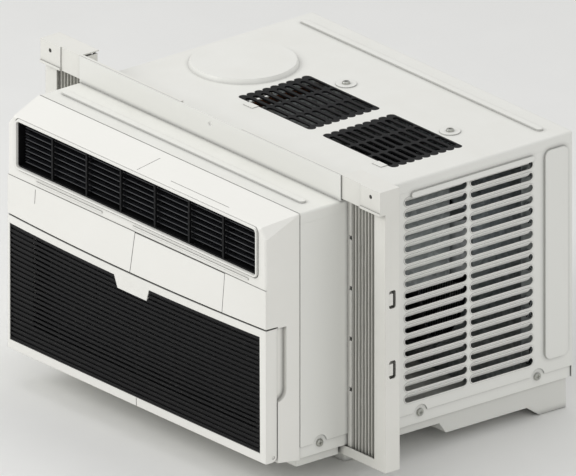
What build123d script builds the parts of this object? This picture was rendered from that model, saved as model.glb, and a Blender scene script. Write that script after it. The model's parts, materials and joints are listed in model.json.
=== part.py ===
from build123d import *
import math
import os

# Window air conditioner, millimetres. X is the width, the room side faces -Y and +Z is up.
# The origin is the centre of the footprint of the whole unit, on the plane that the feet stand on.

# Overall sizes
cabinet_width = 470.0
cabinet_top_z = 341.0
cabinet_rear_y = 228.0
cabinet_depth = 399.0  # steel wrapper, from the bezel's edge to the rear
bezel_depth = 48.5  # plastic front, ahead of the wrapper
front_swell = 8.5  # how far the front stands out at its middle
sheet = 1.0  # wrapper steel

half_width = cabinet_width / 2
fold_y = cabinet_rear_y - cabinet_depth
front_y = fold_y - bezel_depth
wrapper_bottom_z = 40.0

# Base pan
sill_z = 27.0
drip_z = 13.0
pan_inset = 10.0
pan_sheet = 1.2
pan_rim_z = 62.0
sill_end_y = 41.0
drip_end_y = 170.0
foot_start_y = 188.0
front_foot_y = -74.0
front_foot_depth = 30.0
front_foot_width = cabinet_width - 80.0
drain_x = -60.0
drain_y = 150.0
drain_bore_radius = 8.0
drain_length = 11.0

# Mounting rails and side curtains
rail_height = 32.0
rail_front_y = -112.0
rail_sheet = 1.2
rail_hole_radius = 2.5
rail_hole_z = 22.0  # above the cabinet's top
curtain_front_y = -104.0
curtain_depth = 21.0
curtain_width = 71.0  # from the cabinet's side to the outer face of the post
curtain_wall = 1.5
curtain_arm_height = 29.0
curtain_bar = 4.0  # thickness of the upper arm
curtain_cap_width = 36.0
curtain_arm_reach = 180.0  # length of the sliding arms inside the rails
retainer_width = 7.0
retainer_notches = 4
notch_pitch = 62.0
notch_height = 5.0
post_front_width = 20.0
post_rear_width = 12.0
catch_heights = (cabinet_top_z - 103.0, cabinet_top_z - 189.0)
pleat_count = 9
pleat_slant = 3.6  # the thin sheet measured along Y, where the pleats are steep

# Louvred sides
louvre_pitch = 14.2
louvre_length = 92.0
louvre_height = 10.0
louvre_top_z = cabinet_top_z - 26.0
louvre_low_z = wrapper_bottom_z + 26.0
louvre_rows = 1 + round((louvre_top_z - louvre_low_z - louvre_height / 2) / louvre_pitch)
louvre_columns_y = (28.0, 124.7)
flange_step = 1.5
flange_top_z = 54.0
side_screws_y = (-142.0, 5.4, 177.5)
side_screw_z = 52.5

# Top panel
vent_pitch = 11.6
vent_rows = 9
vent_centre_y = 51.0
dome_x = 75.0 - half_width
dome_y = 68.0
dome_radius = 64.0
dome_height = 5.6
vent_left_x = dome_x + dome_radius + 8.0
vent_right_x = half_width - 41.0
vent_gap = 19.0
vent_split_x = (vent_left_x + vent_right_x) / 2 - 8.0
vent_spans_x = ((vent_left_x, vent_split_x), (vent_split_x + vent_gap, vent_right_x))
vent_screws_x = (vent_left_x + 50.0, vent_right_x - 45.0)
vent_screw_y = vent_centre_y + 68.0
vent_tabs_x = (vent_left_x + 32.0, vent_right_x - 18.0)
vent_tab_y = vent_centre_y - 54.0

# Air outlet
outlet_half_width = half_width - 19.5
outlet_height = 56.0
outlet_high_z = cabinet_top_z - 14.0
outlet_low_z = outlet_high_z - outlet_height
outlet_wall = 2.0
outlet_front_y = front_y + 1.0
outlet_columns = 7
vane_count = 7
vane_pitch = 7.0
vane_chord = 12.0
vane_thickness = 1.5
vane_axis_y = front_y + 11.5
vane_crank = 6.0
deflectors_per_bank = 4
deflector_pitch = 53.0
deflector_chord = 16.0
deflector_thickness = 1.4
deflector_axis_y = front_y + 35.5
deflector_crank = 6.0
pivot_radius = 1.5
pivot_fit = 0.06
crank_pin_radius = 0.9
tie_thickness = 1.5

# Front bezel and the hinged intake grille
bezel_front_half_width = half_width - 2.5
bezel_front_top_z = cabinet_top_z - 10.0
bezel_front_bottom_z = 44.5
band_height = 49.5
band_top_z = outlet_low_z - 14.0
grille_top_z = band_top_z - band_height
grille_depth = 16.0
grille_wall = 3.0
hinge_y = front_y + 11.0
hinge_z = bezel_front_bottom_z + 5.7
hinge_pin_radius = 2.0
ear_radius = 2.9
bezel_rim_radius = 3.5
ear_width = 6.5
mesh_right_x = bezel_front_half_width - 10.5
mesh_left_x = 4.0 - bezel_front_half_width
mesh_low_z = bezel_front_bottom_z + 10.5
mesh_high_z = grille_top_z - 9.5
mesh_pitch = 6.0
mesh_gap = 2.6
mesh_columns = 6
mesh_backing = 24.0  # closed margin that hides the filter chamber's walls
notch_depth = 15.0
notch_top_width = 64.0
notch_bottom_width = 52.0
chamber_half_width = half_width - 21.0
chamber_low_z = bezel_front_bottom_z + 7.5
chamber_high_z = band_top_z - 3.0
seam_left_x = -3.0
seam_right_x = seam_left_x + 162.0
seam_gap = 0.8
reveal = 2.0  # shadow gap above the intake grille
edge_groove = 0.7  # at the joint of the bezel and the wrapper
accent_spans_x = ((55.0 - half_width, -62.0), (-7.0, half_width - 34.0))
accent_z = band_top_z + 4.5
surround_half_width = outlet_half_width + 2.8
surround_half_height = outlet_height / 2 + 3.3
surround_corner = 7.3
surround_groove = 0.8
finger_low_z = 117.0
finger_depth = 13.0
finger_reach = 7.0

# Air filter
filter_half_width = chamber_half_width - 8.0
filter_low_z = chamber_low_z + 6.0
filter_height = grille_top_z - 7.5 - filter_low_z
filter_thickness = 4.0
filter_y = front_y + 21.0
filter_lift = 14.0

# Refrigeration and air moving
axis_x = 53.0
axis_z = 175.0
shaft_radius = 6.0
evaporator_half_width = half_width - 30.0
evaporator_y = fold_y + 6.0
evaporator_depth = 30.0
evaporator_low_z = 50.0
evaporator_high_z = outlet_low_z - 13.0
scroll_y = evaporator_y + evaporator_depth + 7.0
scroll_depth = 64.0
scroll_wall = 2.5
wheel_radius = 80.0
wheel_depth = 48.0
wheel_blades = 30
duct_low_z = outlet_low_z - 9.0
duct_high_z = cabinet_top_z - 5.0
duct_wall = 2.5
bulkhead_y = -58.0
bulkhead_sheet = 1.5
motor_radius = 45.0
motor_y = -38.0
motor_length = 68.0
fan_radius = 118.0
fan_y = 114.0
fan_blades = 5
shroud_y = 163.0
shroud_wall = 2.0
shroud_ring_depth = 42.0
condenser_half_width = half_width - 17.0
condenser_depth = 40.0
condenser_low_z = 42.0
condenser_high_z = cabinet_top_z - 11.0
compressor_radius = 56.0
compressor_low_z = 50.0
compressor_height = 196.0
mount_plate = 3.0
accumulator_x = -78.0
accumulator_radius = 19.0
suction_z = 246.0
liquid_x = -90.0
liquid_z = 60.0
pipe_radius = 4.0
guard_y = cabinet_rear_y - 7.0

# Electrical box
box_width = 60.0
box_left_x = half_width - 17.0 - box_width
box_front_y = -50.0
box_rear_y = 62.0
box_low_z = 200.0
box_high_z = cabinet_top_z - 23.0
box_sheet = 1.2


def block(x0, x1, y0, y1, z0, z1):
    """A box between two corners."""
    return Pos((x0 + x1) / 2, (y0 + y1) / 2, (z0 + z1) / 2) * Box(x1 - x0, y1 - y0, z1 - z0)


def rod_x(x0, x1, y, z, radius):
    """A round bar along X."""
    return Pos((x0 + x1) / 2, y, z) * Rot(0, 90, 0) * Cylinder(radius, x1 - x0)


def rod_y(x, y0, y1, z, radius):
    """A round bar along Y."""
    return Pos(x, (y0 + y1) / 2, z) * Rot(90, 0, 0) * Cylinder(radius, y1 - y0)


def rod_z(x, y, z0, z1, radius):
    """A round bar along Z."""
    return Pos(x, y, (z0 + z1) / 2) * Cylinder(radius, z1 - z0)


def obround_z(x, y, z0, z1, length, width):
    """An upright prism with a round-ended outline, long along X."""
    outline = Pos(x, y, z0) * SlotOverall(length, width)
    return extrude(outline, z1 - z0)


def obround_x(x0, x1, y, z, length, width):
    """A prism along X with a round-ended outline, long along Y."""
    outline = Plane(origin=(x0, y, z), x_dir=(0, 1, 0), z_dir=(1, 0, 0)) * SlotOverall(length, width)
    return extrude(outline, x1 - x0)


def joined(pieces):
    """One shape made of pieces that touch."""
    first, *others = pieces
    return first.fuse(*others) if others else first


def without(shape, tools):
    """The shape with every tool cut from it."""
    return shape.cut(*tools)


def mirrored(shape):
    """The left-hand twin of a right-hand piece."""
    return mirror(shape, about=Plane.YZ)


def save(name, shape):
    """Writes one node."""
    solids = shape.solids() if hasattr(shape, "solids") else shape
    out = solids[0] if len(solids) == 1 else Compound(children=list(solids))
    export_step(out, f"parts/{name}.step")


# Steel cabinet


def hollow_bead(x, y, length, width, height):
    """The outer and inner bodies of a bead pressed up out of the top sheet."""
    top = cabinet_top_z + height
    outer = obround_z(x, y, cabinet_top_z - sheet, top, length, width)
    inner = obround_z(x, y, cabinet_top_z - sheet, top - sheet, length - 2 * sheet, width - 2 * sheet)
    return outer, inner


def vent_outline(span, y_margin, z0, z1):
    """Rows of round-ended slots that touch, which leave a scalloped edge at both ends."""
    rows = []
    for row in range(vent_rows):
        y = vent_centre_y + (row - (vent_rows - 1) / 2) * vent_pitch
        length = span[1] - span[0] - 2 * y_margin
        rows.append(obround_z(sum(span) / 2, y, z0, z1, length, vent_pitch + 0.4 - 2 * y_margin))
    core_half = (vent_rows - 1) / 2 * vent_pitch
    inset = vent_pitch / 2 + 1
    core = block(span[0] + inset, span[1] - inset, vent_centre_y - core_half, vent_centre_y + core_half, z0, z1)
    return joined([core] + rows)


def make_cabinet_top():
    low = cabinet_top_z - 14.0
    panel = block(-half_width, half_width, fold_y, cabinet_rear_y, low, cabinet_top_z)
    edges = panel.edges().filter_by(Axis.Y).group_by(Axis.Z)[-1]
    panel = fillet(edges, 3.0)
    inside = block(-half_width + sheet, half_width - sheet, fold_y - 1, cabinet_rear_y - sheet, low - 1,
                   cabinet_top_z - sheet)
    inside = fillet(inside.edges().filter_by(Axis.Y).group_by(Axis.Z)[-1], 2.0)
    ends = block(-half_width + 14, half_width - 14, cabinet_rear_y - 2, cabinet_rear_y + 1, low - 1, low + 2)
    beads = [
        hollow_bead(-4.0, -147.0, cabinet_width - 36.0, 8.5, 2.5),
        hollow_bead(-2.5, 201.0, cabinet_width - 39.0, 8.0, 2.5),
    ]
    top = cabinet_top_z
    dome = Pos(dome_x, dome_y, top - sheet + (dome_height + sheet) / 2)
    outer_dome = dome * Cone(dome_radius, dome_radius - 3, dome_height + sheet)
    inner_dome = Pos(0, 0, -sheet) * dome * Cone(dome_radius - 1.5, dome_radius - 4.5, dome_height + sheet)
    bosses = []
    holes = []
    for x in vent_screws_x:
        bosses.append(rod_z(x, vent_screw_y, top - sheet, top + 1.2, 12.0))
        holes.append(rod_z(x, vent_screw_y, top - 3, top + 3, 2.1))
    tabs = [block(x - 8, x + 8, vent_tab_y - 8, vent_tab_y + 8, top - sheet, top + 0.8) for x in vent_tabs_x]
    shell = without(panel, [inside, ends])
    shell = joined([shell, outer_dome] + [outer for outer, _ in beads] + bosses + tabs)
    cuts = [inner_dome] + [inner for _, inner in beads] + holes
    cuts += [vent_outline(span, 0.0, top - 3, top + 3) for span in vent_spans_x]
    return without(shell, cuts)


def make_vent_grilles():
    """Black ribbed grilles that fill the scalloped openings in the top."""
    grilles = []
    for span in vent_spans_x:
        plate = vent_outline(span, 0.25, cabinet_top_z - 2.6, cabinet_top_z - 0.4)
        slots = []
        for row in range(vent_rows):
            y = vent_centre_y + (row - (vent_rows - 1) / 2) * vent_pitch
            third = (span[1] - span[0] - 16) / 3
            for column in range(3):
                x = span[0] + 8 + third * (column + 0.5)
                slots.append(obround_z(x, y, cabinet_top_z - 3, cabinet_top_z, third - 4, vent_pitch - 4.4))
        grilles.append(without(plate, slots))
    return Compound(children=grilles)


def make_cabinet_side():
    """The right side: louvres pressed inwards, a bead, a pad and a stepped lower flange."""
    low = wrapper_bottom_z
    high = cabinet_top_z - 14.0
    inner = half_width - sheet
    wall = block(inner, half_width, fold_y, cabinet_rear_y, low, high)
    rear = block(half_width - 12, half_width, cabinet_rear_y - sheet, cabinet_rear_y, low, high)
    step = [block(inner - 1, half_width + 1, fold_y - 1, cabinet_rear_y + 1, low - 1, flange_top_z)]
    step += [rod_x(inner - 1, half_width + 1, y, side_screw_z, 10.0) for y in side_screws_y]
    flange = block(inner - flange_step, half_width - flange_step, fold_y, cabinet_rear_y - 2, low, flange_top_z + 3)
    pads = [rod_x(inner - flange_step, half_width - flange_step, y, side_screw_z, 13.0) for y in side_screws_y]
    bumps = [rod_x(inner - 3, half_width + 1, y, side_screw_z, 10.0) for y in side_screws_y]
    below = block(inner - 3, half_width + 1, fold_y - 20, cabinet_rear_y + 20, 0, flange_top_z)
    web = block(inner - flange_step, inner + 0.2, fold_y, cabinet_rear_y - 2, flange_top_z, flange_top_z + 3)
    rings = [rod_x(inner - flange_step, inner + 0.2, y, side_screw_z, 13.0) for y in side_screws_y]
    webs = [without(piece, bumps + [below]) for piece in [web] + rings]
    trim = block(inner - 3, half_width + 1, fold_y - 20, cabinet_rear_y + 20, 0, low)
    wall = joined([without(wall, step), rear, flange] + pads + webs)
    slots = []
    blades = []
    for y in louvre_columns_y:
        for row in range(louvre_rows):
            z = louvre_top_z - row * louvre_pitch
            slots.append(obround_x(inner - 1, half_width + 1, y, z, louvre_length, louvre_height))
            blades.append(make_blade(inner, y, z))
    bead = obround_x(inner, half_width + 2.5, 81.0, cabinet_top_z - 18.5, 180.0, 6.5)
    bead_inside = obround_x(inner, half_width + 1.5, 81.0, cabinet_top_z - 18.5, 178.0, 4.5)
    pad = Pos(half_width + 1.0, cabinet_rear_y - 24.5, 199.0) * Box(4.0, 33.0, 256.0)
    pad = fillet(pad.edges().filter_by(Axis.X), 8.0)
    pad_inside = Pos(half_width, cabinet_rear_y - 24.5, 199.0) * Box(4.0, 31.0, 254.0)
    pad_inside = fillet(pad_inside.edges().filter_by(Axis.X), 7.0)
    holes = [rod_x(inner - 4, half_width + 1, y, side_screw_z, 2.1) for y in side_screws_y]
    wall = without(wall, slots)
    return without(joined([wall, bead, pad] + blades), [bead_inside, pad_inside, trim] + holes)


def make_blade(inner, y, z):
    """One louvre blade: it leaves the sheet at the slot's top edge and leans in and down."""
    reach = 4.5
    half = louvre_height / 2
    points = [
        (half_width, z + half + 0.4),
        (half_width, z + half - 0.6),
        (half_width - reach, z - 0.6),
        (half_width - reach - 0.9, z - 0.6),
        (inner - 0.4, z + half - 0.2),
        (inner, z + half + 0.4),
    ]
    plane = Plane(origin=(0, y - louvre_length / 2 + 3.5, 0), x_dir=(1, 0, 0), z_dir=(0, -1, 0))
    profile = plane * make_face(Polyline(*points, close=True))
    return extrude(profile, -(louvre_length - 7.0))


def make_rear_guard():
    """A perforated guard over the condenser, inside the wrapper's rear flange."""
    half = condenser_half_width + 4
    plate = block(-half, half, guard_y, guard_y + 1.5, condenser_low_z, condenser_high_z + 4)
    columns = 9
    rows = 12
    cell_x = 2 * (half - 8) / columns
    cell_z = (condenser_high_z - condenser_low_z - 12) / rows
    holes = []
    for column in range(columns):
        for row in range(rows):
            x = -half + 8 + (column + 0.5) * cell_x
            z = condenser_low_z + 8 + (row + 0.5) * cell_z
            holes.append(block(x - cell_x / 2 + 1.2, x + cell_x / 2 - 1.2, guard_y - 1, guard_y + 3,
                               z - cell_z / 2 + 1.2, z + cell_z / 2 - 1.2))
    return without(plate, holes)


def screw_x(y, z, face, reach):
    """A pan-head screw driven towards -X through a side."""
    head = rod_x(face, face + 2.6, y, z, 4.5)
    head = fillet(head.faces().sort_by(Axis.X)[-1].edges(), 1.2)
    cross = [block(face + 1.5, face + 3, y - 2.4, y + 2.4, z - 0.45, z + 0.45)]
    cross.append(block(face + 1.5, face + 3, y - 0.45, y + 0.45, z - 2.4, z + 2.4))
    return without(joined([head, rod_x(face - reach, face, y, z, 2.0)]), cross)


def screw_z(x, y, face, reach):
    """A pan-head screw driven down."""
    head = rod_z(x, y, face, face + 2.6, 4.5)
    head = fillet(head.faces().sort_by(Axis.Z)[-1].edges(), 1.2)
    cross = [block(x - 2.4, x + 2.4, y - 0.45, y + 0.45, face + 1.5, face + 3)]
    cross.append(block(x - 0.45, x + 0.45, y - 2.4, y + 2.4, face + 1.5, face + 3))
    return without(joined([head, rod_z(x, y, face - reach, face, 2.0)]), cross)


def make_screws():
    screws = []
    face = half_width - flange_step
    for y in side_screws_y:
        right = screw_x(y, side_screw_z, face, 8.0)
        screws += [right, mirrored(right)]
    for x in vent_screws_x:
        screws.append(screw_z(x, vent_screw_y, cabinet_top_z + 1.2, 7.0))
    return Compound(children=screws)


# Base pan and feet


def pan_body(inset, floor):
    """The pan's solid outline, drawn in by inset and raised by floor."""
    low_half = half_width - pan_inset - inset
    rim_half = half_width - flange_step - sheet - 0.1 - inset
    front = fold_y + 2 + inset
    rear = cabinet_rear_y - sheet - 0.2 - inset
    points = [
        (front, pan_rim_z + (1 if inset else 0)),
        (front, sill_z + floor),
        (sill_end_y, sill_z + floor),
        (sill_end_y + 10, drip_z + floor),
        (drip_end_y, drip_z + floor),
        (foot_start_y, floor),
        (rear, floor),
        (rear, pan_rim_z + (1 if inset else 0)),
    ]
    plane = Plane(origin=(-rim_half, 0, 0), x_dir=(0, 1, 0), z_dir=(1, 0, 0))
    body = extrude(plane * make_face(Polyline(*points, close=True)), 2 * rim_half)
    outside = [
        block(low_half, rim_half + 1, front - 1, rear + 1, -1, wrapper_bottom_z + floor),
        block(-rim_half - 1, -low_half, front - 1, rear + 1, -1, wrapper_bottom_z + floor),
    ]
    groove = groove_box(inset)
    return without(body, outside + [groove])


def groove_box(inset):
    """The lower curtain arms run in this groove across the pan."""
    front = curtain_front_y - 4 - inset
    rear = curtain_front_y + curtain_depth + 4 + inset
    return block(-half_width, half_width, front, rear, -1, wrapper_bottom_z + 0.5 + inset)


def make_base_pan():
    pan = pan_body(0.0, 0.0) - pan_body(pan_sheet, pan_sheet)
    spout = rod_z(drain_x, drain_y, drip_z + pan_sheet - drain_length, drip_z + pan_sheet, drain_bore_radius + 2)
    bore = rod_z(drain_x, drain_y, drip_z - drain_length, drip_z + 3, drain_bore_radius)
    holes = [rod_x(-half_width, half_width, y, side_screw_z, 2.1) for y in side_screws_y]
    return without(joined([pan, spout]), [bore] + holes)


def make_front_foot():
    half = front_foot_width / 2
    rear = front_foot_y + front_foot_depth
    wall = 1.5
    outer = block(-half, half, front_foot_y, rear, 0, sill_z)
    outer = fillet(outer.edges().filter_by(Axis.Z), 3.0)
    inner = block(-half + wall, half - wall, front_foot_y + wall, rear - wall, wall, sill_z + 1)
    return outer - inner


# Mounting rails and side curtains


def make_top_rail():
    top = cabinet_top_z + rail_height
    behind_bar = bar_front_y() + curtain_bar + 0.5
    front = block(-half_width, half_width, rail_front_y, rail_front_y + rail_sheet, cabinet_top_z, top)
    base = block(-half_width, half_width, rail_front_y, behind_bar + 14, cabinet_top_z, cabinet_top_z + rail_sheet)
    lip = block(-half_width, half_width, behind_bar, behind_bar + rail_sheet, cabinet_top_z, cabinet_top_z + 11)
    hole = rod_y(0, rail_front_y - 1, rail_front_y + 3, cabinet_top_z + rail_hole_z, rail_hole_radius)
    return joined([front, base, lip]) - hole


def bar_front_y():
    """The upper arms slide just behind the top rail's upright flange."""
    return rail_front_y + rail_sheet + 0.5


def make_bottom_rail():
    half = half_width - pan_inset - 1
    front = curtain_front_y - 4 + 0.2
    rear = curtain_front_y + curtain_depth + 4 - 0.2
    top = wrapper_bottom_z + 0.4
    outer = block(-half, half, front, rear, sill_z, top)
    inner = block(-half - 1, half + 1, front + rail_sheet, rear - rail_sheet, sill_z - 1, top - rail_sheet)
    return outer - inner


def make_retainer():
    """A channel on the cabinet's right side that holds the inner edge of the accordion."""
    front = curtain_front_y + curtain_wall + 1
    rear = curtain_front_y + curtain_depth - curtain_wall - 1
    low = sill_z + 3.5
    high = cabinet_top_z + rail_height - curtain_wall - 2
    end = half_width + retainer_width
    outer = block(half_width, end, front, rear, low, high)
    pocket = block(half_width + 2, end + 1, front + 1.5, rear - 1.5, low - 1, high + 1)
    first = (low + high - (retainer_notches - 1) * notch_pitch) / 2
    heights = [first + index * notch_pitch for index in range(retainer_notches)]
    notches = [block(half_width + 3, end + 1, front - 1, front + 2, z, z + notch_height) for z in heights]
    return without(outer, [pocket] + notches)


def make_curtain_frame():
    """The right sliding frame: a post with an arm at its top and one at its bottom."""
    outer_x = half_width + curtain_width
    inner_x = outer_x - curtain_width - curtain_arm_reach
    front = curtain_front_y
    rear = front + curtain_depth
    top = cabinet_top_z + rail_height
    low = sill_z + 0.3
    arm_low = top - curtain_arm_height
    wall = curtain_wall
    bar_front = bar_front_y()
    bar_rear = bar_front + curtain_bar
    arm = block(inner_x, outer_x, bar_front, bar_rear, arm_low, top)
    roof = block(half_width + 0.6, outer_x, bar_front, rear, top - wall, top)
    shelf = block(outer_x - curtain_cap_width, outer_x, bar_front - 2.5, front + wall, arm_low, arm_low + 3)
    cheek = block(outer_x - wall, outer_x, bar_front, rear, arm_low, top)
    foot_top = wrapper_bottom_z - 1.5
    foot = block(inner_x, outer_x, front, rear, low, foot_top)
    foot_inside = block(inner_x - 1, outer_x - wall, front + wall, rear - wall, low + wall, foot_top + 1)
    strip = block(outer_x - post_front_width, outer_x, front, front + wall, low, arm_low + 3)
    back = block(outer_x - post_rear_width, outer_x, rear - wall, rear, low, top)
    plate = block(outer_x - wall, outer_x, front, rear, low, top)
    web = block(outer_x - post_rear_width, outer_x - post_rear_width + wall, front, rear, low, arm_low + 3)
    cap = block(outer_x - curtain_cap_width, outer_x, bar_front - 1.2, bar_front, arm_low + 3, top)
    frame = joined([arm, roof, shelf, cheek, foot - foot_inside, strip, back, plate, web, cap])
    hole = rod_y(outer_x - 17.5, bar_front - 4, bar_rear + 1, top - 10, rail_hole_radius)
    middle_y = (front + rear) / 2
    slots = []
    for z in catch_heights:
        slot = Pos(outer_x, middle_y, z) * Box(6, 10, 22)
        slots.append(fillet(slot.edges().filter_by(Axis.X), 3.0))
    frame = without(frame, [hole] + slots)
    catches = [block(outer_x - 2.4, outer_x - 0.4, middle_y - 5.4, middle_y + 1, z - 7, z + 7)
               for z in catch_heights]
    return joined([frame] + catches)


def make_accordion():
    """The right pleated screen between the retainer and the post, as one folded sheet."""
    start = half_width + retainer_width
    end = half_width + curtain_width - post_rear_width
    front = curtain_front_y + curtain_wall + 1.2
    rear = curtain_front_y + curtain_depth - curtain_wall - 1.2
    low = sill_z + 3.3
    high = cabinet_top_z + rail_height - curtain_wall - 1.2
    step = (end - start) / (2 * pleat_count)
    ahead = []
    behind = []
    for fold in range(2 * pleat_count + 1):
        x = start + fold * step
        y = front if fold % 2 == 0 else rear - pleat_slant
        ahead.append((x, y))
        behind.append((x, y + pleat_slant))
    outline = Polyline(*ahead, *reversed(behind), close=True)
    return extrude(Pos(0, 0, low) * make_face(outline), high - low)


# Air outlet


def vane_heights():
    """Heights of the horizontal vanes' pivots, lowest first."""
    middle = (outlet_low_z + outlet_high_z) / 2
    return [middle + (index - (vane_count - 1) / 2) * vane_pitch for index in range(vane_count)]


def deflector_places(side):
    """X of the upright deflectors in one bank."""
    first = deflector_pitch / 2
    return [side * (first + index * deflector_pitch) for index in range(deflectors_per_bank)]


def make_outlet_frame():
    """A dark moulded frame with ribs across its mouth and bearings for both sets of vanes."""
    half = outlet_half_width - 0.2
    low = outlet_low_z + 0.2
    high = outlet_high_z - 0.2
    rear = fold_y - 1
    frame = block(-half, half, outlet_front_y, rear, low, high)
    mouth = block(-half + outlet_wall, half - outlet_wall, outlet_front_y - 1, rear + 1, low + outlet_wall,
                  high - outlet_wall)
    ribs = []
    for column in range(1, outlet_columns):
        x = -half + column * 2 * half / outlet_columns
        ribs.append(block(x - 1.4, x + 1.4, outlet_front_y, outlet_front_y + 2.5, low, high))
    bearings = [rod_x(-half - 1, half + 1, vane_axis_y, z, pivot_radius + pivot_fit) for z in vane_heights()]
    for side in (-1, 1):
        for x in deflector_places(side):
            bearings.append(rod_z(x, deflector_axis_y, low - 1, high + 1, pivot_radius + pivot_fit))
    return without(joined([frame - mouth] + ribs), bearings)


def vane_ends():
    """X of the two ends of a vane's blade."""
    inside = outlet_half_width - 0.2 - outlet_wall
    return -inside + 6.5, inside - 0.6


def make_vane(z):
    """One horizontal vane with pivots at both ends and a crank pin at its left end."""
    left, right = vane_ends()
    half = outlet_half_width - 0.6
    blade = block(left, right, vane_axis_y - vane_chord / 2, vane_axis_y + vane_chord / 2,
                  z - vane_thickness / 2, z + vane_thickness / 2)
    blade = fillet(blade.edges().filter_by(Axis.X), 0.6)
    pivot_left = rod_x(-half, left + 2, vane_axis_y, z, pivot_radius)
    pivot_right = rod_x(right - 2, half, vane_axis_y, z, pivot_radius)
    cheek = block(left, left + 1.5, vane_axis_y - 1.5, vane_axis_y + vane_crank + 1.5, z - 1.5, z + 1.5)
    pin = rod_x(left - 4, left + 1, vane_axis_y + vane_crank, z, crank_pin_radius)
    return joined([blade, pivot_left, pivot_right, cheek, pin])


def make_vane_tie():
    """The link that joins the crank pins of the horizontal vanes."""
    left, _ = vane_ends()
    y = vane_axis_y + vane_crank
    heights = vane_heights()
    bar = block(left - 3, left - 3 + tie_thickness, y - 2.8, y + 2.4, heights[0] - 1.9, heights[-1] + 1.9)
    slots = []
    for z in heights:
        slots.append(block(left - 4, left, y - 1.9, y + 1.3, z - 1.2, z + 1.2))
    return without(bar, slots)


def make_deflector(x):
    """One upright deflector with pivots at top and bottom and a crank pin below it."""
    low = outlet_low_z + 7
    high = outlet_high_z - 6
    blade = block(x - deflector_thickness / 2, x + deflector_thickness / 2,
                  deflector_axis_y - deflector_chord / 2, deflector_axis_y + deflector_chord / 2, low, high)
    blade = fillet(blade.edges().filter_by(Axis.Z), 0.6)
    below = rod_z(x, deflector_axis_y, outlet_low_z + 0.6, low + 2, pivot_radius)
    above = rod_z(x, deflector_axis_y, high - 2, outlet_high_z - 0.6, pivot_radius)
    pin = rod_z(x, deflector_axis_y + deflector_crank, low - 3.4, low + 3, crank_pin_radius)
    return joined([blade, below, above, pin])


def make_deflector_tie(side):
    """The link that joins the crank pins of one bank of deflectors."""
    low = outlet_low_z + 4.4
    y = deflector_axis_y + deflector_crank
    places = sorted(deflector_places(side))
    bar = block(places[0] - 5, places[-1] + 5, y - 3.0, y + 2.4, low, low + tie_thickness)
    slots = [block(x - 1.25, x + 1.25, y - 2.0, y + 1.3, low - 1, low + 3) for x in places]
    return without(bar, slots)


# Front bezel, control panel, grille and filter


def swell_section(z, swell, back, set_back):
    """A plan section whose front edge is an arc that stands out by swell at its middle."""
    half = bezel_front_half_width
    y = front_y + set_back
    edges = [
        ThreePointArc((-half, y, z), (0, y - swell, z), (half, y, z)),
        Line((half, y, z), (half, back, z)),
        Line((half, back, z), (-half, back, z)),
        Line((-half, back, z), (-half, y, z)),
    ]
    return make_face(edges)


def swell_body(set_back, back):
    """The front's volume: straight at the top and bottom edges and full where the grille starts."""
    flat = 0.4
    sections = [
        swell_section(bezel_front_bottom_z, flat, back, set_back),
        swell_section(grille_top_z, front_swell, back, set_back),
        swell_section(band_top_z, flat, back, set_back),
    ]
    return loft(sections, ruled=True)


def bezel_outline():
    """The tapered outer body of the bezel with cut-back upper corners."""
    back_plane = Plane(origin=(0, fold_y, 0), x_dir=(1, 0, 0), z_dir=(0, -1, 0))
    front_plane = Plane(origin=(0, front_y, 0), x_dir=(1, 0, 0), z_dir=(0, -1, 0))
    rear_low = wrapper_bottom_z - 1.5
    rear = back_plane * Pos(0, (rear_low + cabinet_top_z) / 2) * Rectangle(cabinet_width, cabinet_top_z - rear_low)
    height = bezel_front_top_z - bezel_front_bottom_z
    middle = (bezel_front_top_z + bezel_front_bottom_z) / 2
    front = front_plane * Pos(0, middle) * Rectangle(2 * bezel_front_half_width, height)
    body = loft([rear, front], ruled=True)
    apex = Vector(half_width, fold_y, cabinet_top_z)
    on_top = Vector(bezel_front_half_width - 10.5, front_y, bezel_front_top_z)
    on_side = Vector(bezel_front_half_width, front_y, bezel_front_top_z - 13)
    normal = (on_top - apex).cross(on_side - apex).normalized()
    if normal.X < 0:
        normal = -normal
    cutter = Plane(origin=on_top, z_dir=normal) * Pos(0, 0, 25) * Box(200, 200, 50)
    body = without(body, [cutter, mirrored(cutter)])
    rim = [edge for edge in body.edges() if abs(edge.center().Y - front_y) < 0.01 and edge.center().Z > 50]
    body = fillet(rim, bezel_rim_radius)
    joint = block(-half_width - 1, half_width + 1, fold_y - 1.2, fold_y + 1, rear_low - 1, cabinet_top_z + 1)
    core = block(-half_width + edge_groove, half_width - edge_groove, fold_y - 2, fold_y + 2,
                 rear_low + edge_groove, cabinet_top_z - edge_groove)
    return body - (joint - core)


def finger_recess():
    """The scoop in the bezel's right side, behind the grille's edge, with a round lower end."""
    front = front_y + grille_depth
    rear = front + finger_depth
    low = finger_low_z + finger_depth
    scoop = block(half_width - finger_reach, half_width + 5, front - 1, rear, low, grille_top_z)
    end = rod_x(half_width - finger_reach, half_width + 5, front, low, finger_depth)
    keep = block(0, half_width + 10, front - 1, rear + 5, 0, low + 1)
    return joined([scoop, end & keep])


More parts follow.
